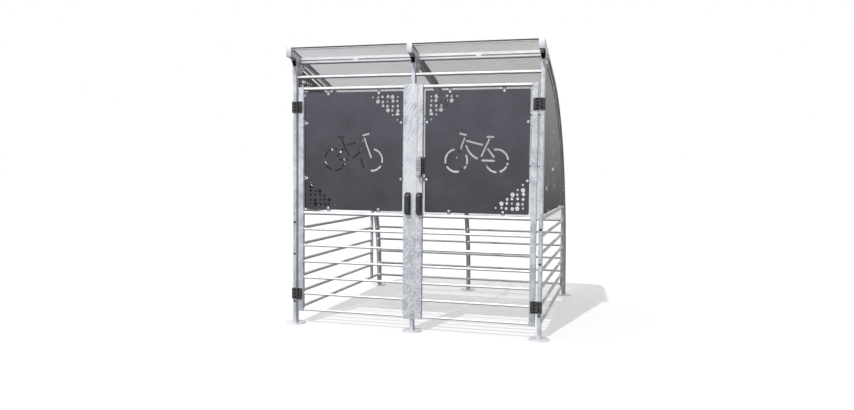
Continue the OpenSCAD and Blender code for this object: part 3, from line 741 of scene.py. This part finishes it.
hinge_screw = ((0, -0.001), (0.0058, -0.001), (0.0058, 0.0001), (0.0052, 0.0004), (0.0034, 0.0004),
               (0.0026, -0.0004), (0, -0.0004))
hinge_tall = 0.090
knuckles = 7
knuckle_tall = hinge_tall / knuckles
leaf_thick = 0.006
comb_rise = 0.002
comb_end = 0.0445
comb_root = 0.024
comb_tip = 0.0084
comb_gap = 0.0002
comb_edge = 0.0005
pocket_thick = 0.0006
pocket_edge = 0.0001
screw_reach = 0.0345
screw_rises = (-0.030, 0.0, 0.030)
pin_r = 0.003
low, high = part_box("hinge_pins")
hinge_middles = (low.z + hinge_tall / 2, high.z - hinge_tall / 2)
pin_xs = {"left": low.x + pin_r, "right": high.x - pin_r}
leaf_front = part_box("right_door_hinge_stile")[0].y - leaf_thick


def raised(work, outline, pin_x, towards, middle, thick, edge):
    """A flat piece on a leaf, from an outline in reach and height, with its front edges eased."""
    loops = [[(pin_x + towards * reach, leaf_front - depth, middle + rise) for reach, rise in outline]
             for depth in (0, thick)]
    front = lofted(work, loops)
    bmesh.ops.bevel(work, geom=list(front.edges), offset=edge, segments=2, profile=0.5, affect="EDGES")


for side, away in (("left", -1), ("right", 1)):
    pin_x = pin_xs[side]
    for body, towards, own, label in (("frame", away, 0, "post"), (side + "_door", -away, 1, "door")):
        combs = bmesh.new()
        pockets = bmesh.new()
        screws = bmesh.new()
        for middle in hinge_middles:
            half = hinge_tall / 2 - comb_gap
            outline = [(comb_end, -half), (comb_end, half)]
            for knuckle in range(knuckles)[::-1]:
                spare = comb_gap if knuckle % 2 == own else -comb_gap
                upper = min(half, (knuckle + 1) * knuckle_tall - hinge_tall / 2 - spare)
                lower = max(-half, knuckle * knuckle_tall - hinge_tall / 2 + spare)
                if knuckle % 2 == own:
                    outline += [(comb_tip, upper), (comb_tip, lower)]
                else:
                    outline += [(comb_root, upper), (comb_root, lower)]
                    pocket = [(comb_tip, lower), (comb_root, lower), (comb_root, upper), (comb_tip, upper)]
                    raised(pockets, pocket, pin_x, towards, middle, pocket_thick, pocket_edge)
            raised(combs, outline, pin_x, towards, middle, comb_rise, comb_edge)
            for rise in screw_rises:
                spot = (pin_x + towards * screw_reach, leaf_front - comb_rise, middle + rise)
                turned(screws, hinge_screw, facing(spot, (0, -1, 0)), sides=20)
        for kind, mesh, material in (
            ("combs", closed_mesh("hinge_combs", combs), hinge_finish),
            ("pockets", closed_mesh("hinge_pockets", pockets), painted_shade_black),
            ("screws", closed_mesh("hinge_screws", screws, 30), black_nylon),
        ):
            shown(side + "_" + label + "_hinge_" + kind, mesh, material, body)

# Door frames: two stiles of rectangular tube, a round top rail, a middle rail and six
# bars, welded and then galvanised as one. Beads of weld close the ends of each rail.

stile_rounding = 0.003
door_bar_r = 0.0105
door_bar_count = 6
door_bead = 0.0024
for side in door_sides:
    body = side + "_door"
    rounded(body + "_hinge_stile", galvanised, body, stile_rounding)
    plain(body + "_rails", painted_light_white_zinc)
    low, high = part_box(body + "_rails")
    rail_r = (high.y - low.y) / 2
    levels = [(low_bar + level * bar_pitch, door_bar_r) for level in range(door_bar_count)]
    levels += [(low_bar + door_bar_count * bar_pitch, rail_r), (high.z - rail_r, rail_r)]
    door_welds = bmesh.new()
    for height, radius in levels:
        for x in (low.x, high.x):
            middle = Vector((x, (low.y + high.y) / 2, height))
            bead(door_welds, round_loop(middle, across, radius), across, door_bead)
    shown(body + "_welds", closed_mesh("door_welds", door_welds, 70), welds_finish, body)

# Door panels: the same anthracite laminate, routed with the bicycle sign and bubbles.
# Eight dome screws hold each one to lugs, and half-round ears show over and under it.

anthracite = finish("anthracite_laminate", {"Specular IOR Level": 0.3},
                    laminate((0.045, 0.041, 0.047, 1), (0.144, 0.140, 0.178, 1), 0.0,
                             "Y", (0.090, 0.085, 0.090, 1)))
# A near-white, shiny copy of the zinc for the ears: painted light, as they sit in the top rail's shadow.
painted_light_ear_zinc = finish("painted_light_ear_finish", {"Metallic": 0.9},
                  zinc((0.84, 0.86, 0.89, 1), (0.96, 0.97, 0.99, 1), 0.3))
edge_lug_shares = (0.27, 0.74)
ear_shares = (0.25, 0.75)
ear_half = 0.037
ear_deep = 0.0145
ear_thick = 0.0034
ear_setback = 0.0003
ear_gap = 0.015
ear_steps = 16
ear_angles = [math.pi * step / ear_steps for step in range(ear_steps + 1)]
for side in door_sides:
    body = side + "_door"
    plain(body + "_panel", anthracite)
    plain(body + "_lugs", galvanised)
    low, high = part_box(body + "_panel")
    rail_low, rail_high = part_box(body + "_rails")
    lug_low, lug_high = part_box(body + "_lugs")
    ear_xs = [rail_low.x + share * (rail_high.x - rail_low.x) for share in ear_shares]
    places = [(x, low.z + share * (high.z - low.z)) for share in edge_lug_shares
              for x in (low.x + lug_inset, high.x - lug_inset)]
    places += [(x, height) for x in ear_xs for height in (low.z + lug_inset, high.z - lug_inset)]
    screws = bmesh.new()
    for x, height in places:
        turned(screws, screw_dome, facing((x, low.y, height), (0, -1, 0)))
        turned(screws, nut, facing((x, lug_high.y, height), (0, 1, 0)), sides=6)
    mesh = closed_mesh("panel_screws", screws, 30)
    shown(body + "_panel_screws", mesh, bright_zinc, body)
    ears = bmesh.new()
    ear_front = lug_low.y + ear_setback
    for x in ear_xs:
        for edge, towards in ((high.z + ear_gap, -1), (low.z - ear_gap, 1)):
            lofted(ears, [[(x + ear_half * math.cos(angle), depth,
                            edge + towards * ear_deep * math.sin(angle)) for angle in ear_angles]
                          for depth in (ear_front, ear_front + ear_thick)])
    shown(body + "_panel_ears", closed_mesh("panel_ears", ears, 30), painted_light_ear_zinc, body)

# Meeting stiles and cover plate: rectangular tubes at the doors' free edges, and on the left
# one a wide galvanised plate that laps the gap between the doors. Zinc ran off the plate in
# slanting streaks above and set in coarse grains below.


def streaked_zinc(start):
    where = start.node("TexCoord", out="Object")
    flake = flakes(start, where, 120.0)
    slanted = start.node("Mapping", {"vector_type": "TEXTURE"},
                         {"Vector": where, "Rotation": (0, 0.5, 0), "Scale": (0.009, 0.05, 0.10)})
    stroke = stretched(noise(start, slanted, 1.0, 3.0), 0.50, 0.64)
    grain = stretched(noise(start, where, 60.0, 5.0), 0.40, 0.64)
    cloud = stretched(noise(start, where, 14.0, 6.0), 0.40, 0.70)
    above = stretched(part_of(where, "Z"), 1.38, 1.62)
    below = stretched(part_of(where, "Z"), 1.05, 0.80)
    worn = 0.22 * cloud + 0.1 * flake + 0.12 * above + 0.04 * below
    streaks = (0.12 + 0.38 * above + 0.12 * below) * stroke
    level = 1 - worn - streaks - (0.08 + 0.22 * below) * grain
    return {
        "Base Color": tint(level, (0.22, 0.26, 0.34, 1), (0.91, 0.93, 0.975, 1)),
        "Roughness": 0.34 + 0.2 * cloud,
        "Normal": bumped(level, 0.25, 0.0005),
    }


plate_finish = finish("streaked_zinc_plate", {"Metallic": 0.15}, streaked_zinc)
rounded("left_door_meeting_stile", galvanised, "left_door", stile_rounding)
rounded("left_door_cover_plate", plate_finish, "left_door", plate_rounding)
rounded("right_door_meeting_stile", plate_finish, "right_door", stile_rounding)

# Seam lip: a soft pale grey strip pressed on the right door's stile. It leaves a hair's
# gap to the cover plate, so the doors still pass one another.


def soft_grey(start):
    where = start.node("TexCoord", out="Object")
    bloom = stretched(noise(start, where, 30.0, 5.0), 0.35, 0.68)
    grain = stretched(noise(start, where, 600.0, 2.0), 0.3, 0.7)
    return {
        "Base Color": tint(0.6 * bloom + 0.4 * grain, (0.62, 0.64, 0.67, 1), (0.84, 0.86, 0.89, 1)),
        "Roughness": 0.6 + 0.2 * bloom,
    }


lip_finish = finish("soft_grey_lip", {"Specular IOR Level": 0.3}, soft_grey)
lip_reach = 0.0035
lip_thick = 0.005
lip_setback = 0.0012
lip_seat = 0.0002
lip_end_gap = 0.004
low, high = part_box("right_door_meeting_stile")
lip_profile = [(lip_seat, 0), (-0.7 * lip_reach, 0), (-lip_reach, 0.3 * lip_thick),
               (-lip_reach, 0.7 * lip_thick), (-0.7 * lip_reach, lip_thick), (lip_seat, lip_thick)]
lip = bmesh.new()
lofted(lip, [[(low.x + reach, low.y + lip_setback + depth, height) for reach, depth in lip_profile]
             for height in (low.z + lip_end_gap, high.z - lip_end_gap)])
shown("seam_lip", closed_mesh("seam_lip", lip), lip_finish, "right_door")

# Pull handles: moulded black nylon bows with round edges, each on a thin black backing plate,
# which is also painted shade for the bow's shadow on the plate. The left one stands on the
# cover plate, the right one on the meeting stile.

bow_thick = 0.013
bow_taper = 0.002
bow_steps = 48
bow_sides = 28
tangent_share = 0.004
foot_thick = 0.025
foot_middle = 0.0135
foot_lean = 0.017
foot_pull = 0.026
bend_share = 0.28
bend_tall = 0.046


def bow_point(share, tall, reach):
    """Height and projection of the bow's middle line at a share of its length."""
    end = min(share, 1 - share) / bend_share
    if end >= 1:
        return bend_tall + (tall - 2 * bend_tall) * (share - bend_share) / (1 - 2 * bend_share), reach
    weights = ((1 - end) ** 3, 3 * end * (1 - end) ** 2, 3 * end ** 2 * (1 - end), end ** 3)
    lifts = (foot_middle, foot_middle, foot_lean, bend_tall)
    lift = sum(weight * height for weight, height in zip(weights, lifts))
    out = sum(weight * far for weight, far in zip(weights, (0, foot_pull, reach, reach)))
    return (lift, out) if share < 0.5 else (tall - lift, out)


def squared(value):
    """A cosine or sine drawn out, so that a circle becomes a square with round corners."""
    return math.copysign(abs(value) ** 0.5, value)


def stadium(half, foot, top, inset, count=14):
    """The outline of a bar with round ends, drawn in from its edge."""
    radius = half - inset
    points = []
    for middle, first in ((top - half, 0.0), (foot + half, math.pi)):
        for step in range(count + 1):
            angle = first + math.pi * step / count
            points.append((radius * math.cos(angle), middle + radius * math.sin(angle)))
    return points


def cased(work, middle_x, back, half, foot, top, layers):
    """A closed case with round ends, from depths in front of a face and insets there."""
    lofted(work, [[(middle_x + x, back - depth, z) for x, z in stadium(half, foot, top, inset)]
                  for depth, inset in layers])


back_half = 0.019
back_gap = 0.003
backing_layers = ((0, 0), (0.0006, 0), (0.0009, 0.0005))
for side in door_sides:
    body = side + "_door"
    low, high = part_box(body + "_handle")
    tall = high.z - low.z
    reach = high.y - low.y - bow_thick / 2
    middle_x = (low.x + high.x) / 2
    loops = []
    for step in range(bow_steps + 1):
        share = step / bow_steps
        lift, out = bow_point(share, tall, reach)
        before = bow_point(max(0, share - tangent_share), tall, reach)
        after = bow_point(min(1, share + tangent_share), tall, reach)
        run = Vector((0, before[1] - after[1], after[0] - before[0])).normalized()
        aside = run.cross(across)
        slim = min(1.0, out / reach)
        half_thick = (foot_thick + (bow_thick - foot_thick) * slim) / 2
        half_wide = (high.x - low.x - bow_taper * slim) / 2
        middle = Vector((middle_x, high.y - out, low.z + lift))
        angles = [2 * math.pi * part / bow_sides for part in range(bow_sides)]
        loops.append([middle + half_wide * squared(math.cos(angle)) * across
                      + half_thick * squared(math.sin(angle)) * aside for angle in angles])
    bow = bmesh.new()
    lofted(bow, loops)
    mesh = closed_mesh("bow_handle", bow, 50)
    piece = shown(side + "_bow_handle", mesh, black_nylon, body)
    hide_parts(body + "_handle")
    backing = bmesh.new()
    cased(backing, middle_x, high.y, back_half, low.z + back_gap, high.z - back_gap, backing_layers)
    mesh = closed_mesh("handle_backing", backing)
    shown(side + "_handle_backing", mesh, black_nylon, body)

# Lock: a mechanical push-button lock on the right door's stile. A housing, black as painted
# shade for the lock's shaded sides, carries a satin steel cover with two columns of buttons, a
# fluted knob turns the latch, and the latch's slim black case fills the gap beside the stile.

low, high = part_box("door_lock")
lock_x = (low.x + high.x) / 2
lock_back = high.y
lock_half = (high.x - low.x) / 2
lock_deep = 0.042
lock_front = lock_back - lock_deep
housing_layers = ((0, 0), (lock_deep - 0.0065, 0), (lock_deep - 0.0055, 0.001))
housing = bmesh.new()
cased(housing, lock_x, lock_back, lock_half, low.z, high.z, housing_layers)
mesh = closed_mesh("lock_housing", housing)
piece = shown("lock_housing", mesh, black_nylon, "right_door")
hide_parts("door_lock")

cover_layers = ((lock_deep - 0.0060, 0.0012), (lock_deep - 0.0015, 0.0012),
                (lock_deep - 0.0003, 0.0020), (lock_deep, 0.0034))
cover = bmesh.new()
cased(cover, lock_x, lock_back, lock_half, low.z, high.z, cover_layers)
shown("lock_cover", closed_mesh("lock_cover", cover), stainless, "right_door")

button_profile = ((0, 0), (0.0042, 0), (0.0042, 0.0012), (0.0034, 0.0019), (0, 0.0021))
button_columns = (-0.0085, 0.0085)
button_rows = 6
button_foot = 0.051
button_pitch = 0.0155
buttons = bmesh.new()
for column in button_columns:
    for row in range(button_rows):
        place = (lock_x + column, lock_front, low.z + button_foot + row * button_pitch)
        turned(buttons, button_profile, facing(place, (0, -1, 0)), sides=18)
shown("lock_buttons", closed_mesh("lock_buttons", buttons), black_nylon, "right_door")

latch_wide = 0.0125
latch_front_gap = 0.010
latch_back_gap = 0.002
latch_foot_gap = 0.024
latch_top_gap = 0.004
latch_edge = 0.0012
stile_low, stile_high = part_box("right_door_meeting_stile")
latch_low = Vector((stile_high.x, stile_low.y + latch_front_gap, low.z + latch_foot_gap))
latch_high = Vector((stile_high.x + latch_wide, stile_high.y - latch_back_gap, high.z - latch_top_gap))
latch_corners = ((latch_low.x, latch_low.y), (latch_high.x, latch_low.y),
                 (latch_high.x, latch_high.y), (latch_low.x, latch_high.y))
latch = bmesh.new()
lofted(latch, [[(x, y, height) for x, y in latch_corners] for height in (latch_low.z, latch_high.z)])
bmesh.ops.bevel(latch, geom=latch.edges[:], offset=latch_edge, segments=2, profile=0.5, affect="EDGES")
shown("latch_case", closed_mesh("latch_case", latch), black_nylon, "right_door")

knob_r = 0.015
knob_neck = 0.0105
knob_out = high.y - low.y - lock_deep
knob_profile = ((0, 0), (knob_neck, 0), (knob_neck, 0.004), (knob_r - 0.001, 0.0055), (knob_r, 0.0065),
                (knob_r, knob_out - 0.003), (knob_r - 0.0015, knob_out - 0.0008),
                (knob_r - 0.004, knob_out), (0.006, knob_out - 0.0004), (0, knob_out - 0.0006))
knob = bmesh.new()
knob_place = facing((lock_x, lock_front, low.z + lock_half), (0, -1, 0))
turned(knob, knob_profile, knob_place, sides=72, flutes=18, flute_depth=0.0007)
shown("lock_knob", closed_mesh("lock_knob", knob, 45), stainless, "right_door")

# Studio: a pale floor that keeps the shadow, a white surround whose light is dimmer from the
# right, and one sun high in front, a little to the left. The camera stands chest-high, in
# front of the shelter and to its right.

floor_half = 60.0
floor_corners = ((-1, -1), (1, -1), (1, 1), (-1, 1))
plane = bmesh.new()
plane.faces.new([plane.verts.new((x * floor_half, y * floor_half, 0)) for x, y in floor_corners])
floor_mesh = bpy.data.meshes.new("floor")
plane.to_mesh(floor_mesh)
plane.free()
floor = bpy.data.objects.new("floor", floor_mesh)
bpy.context.collection.objects.link(floor)


def seen_ray(start):
    """1 for rays from the camera and for those that mirrors and glass show, else 0."""
    return (start.node("LightPath", out="Is Camera Ray") + start.node("LightPath", out="Is Glossy Ray")
            + start.node("LightPath", out="Is Transmission Ray"))


def pale_ground(start):
    where = start.node("TexCoord", out="Object")
    mottle = stretched(noise(start, where, 3.0, 4.0), 0.3, 0.7)
    seen = seen_ray(start)
    pale = tint(mottle, (0.63, 0.63, 0.63, 1), (0.64, 0.64, 0.64, 1))
    return {
        "Base Color": tint(seen, (0.18, 0.18, 0.185, 1), pale),
        "Emission Color": tint(seen, (0, 0, 0, 1), (0.50, 0.50, 0.50, 1)),
    }


floor_fixed = {"Roughness": 0.9, "Specular IOR Level": 0.0, "Emission Strength": 1.0}
floor_mesh.materials.append(finish("pale_floor", floor_fixed, pale_ground))
floor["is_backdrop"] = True

zenith_light = 0.2
level_light = 1.2
right_shade = 0.8
world = bpy.data.worlds.new("surround")
bpy.context.scene.world = world
world.use_nodes = True
background = world.node_tree.nodes["Background"]
background.inputs["Color"].default_value = (1.0, 1.0, 1.0, 1)
backdrop = Shade(world.node_tree)
direction = backdrop.node("TexCoord", out="Generated")
sky_light = level_light + (zenith_light - level_light) * stretched(part_of(direction, "Z"), 0.0, 1.0)
sky_light = sky_light * (1 - right_shade * stretched(part_of(direction, "X"), 0.0, 0.7))
seen = seen_ray(backdrop)
strength = seen + (1 - seen) * sky_light
world.node_tree.links.new(strength.socket, background.inputs["Strength"])

sun_direction = Vector((0.43, 2.0, -2.23))
sun = bpy.data.lights.new("soft_sun", "SUN")
sun.energy = 2.0
sun.angle = math.radians(0.9)
lamp = bpy.data.objects.new("soft_sun", sun)
lamp.rotation_mode = "QUATERNION"
lamp.rotation_quaternion = sun_direction.to_track_quat("-Z", "Y")
bpy.context.collection.objects.link(lamp)

eye_place = (1.631, -6.5045, 1.289)
turned_left = math.radians(15.43)
tipped = math.radians(-2.907)
leaned = math.radians(0.547)
sensor_mm = 36.0
image_px = 854
focal_px = 732.3
forward = Vector((-math.sin(turned_left) * math.cos(tipped), math.cos(turned_left) * math.cos(tipped),
                  math.sin(tipped)))
level_right = Vector((math.cos(turned_left), math.sin(turned_left), 0))
level_up = level_right.cross(forward)
right = math.cos(leaned) * level_right + math.sin(leaned) * level_up
upward = math.cos(leaned) * level_up - math.sin(leaned) * level_right
camera = bpy.data.cameras.new("camera")
camera.sensor_width = sensor_mm
camera.lens = sensor_mm * focal_px / image_px
eye = bpy.data.objects.new("camera", camera)
eye.rotation_mode = "QUATERNION"
eye.rotation_quaternion = Matrix((right, upward, -forward)).transposed().to_quaternion()
eye.location = eye_place
bpy.context.collection.objects.link(eye)
bpy.context.scene.camera = eye
bpy.context.scene.view_settings.view_transform = "Standard"

low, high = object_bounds()
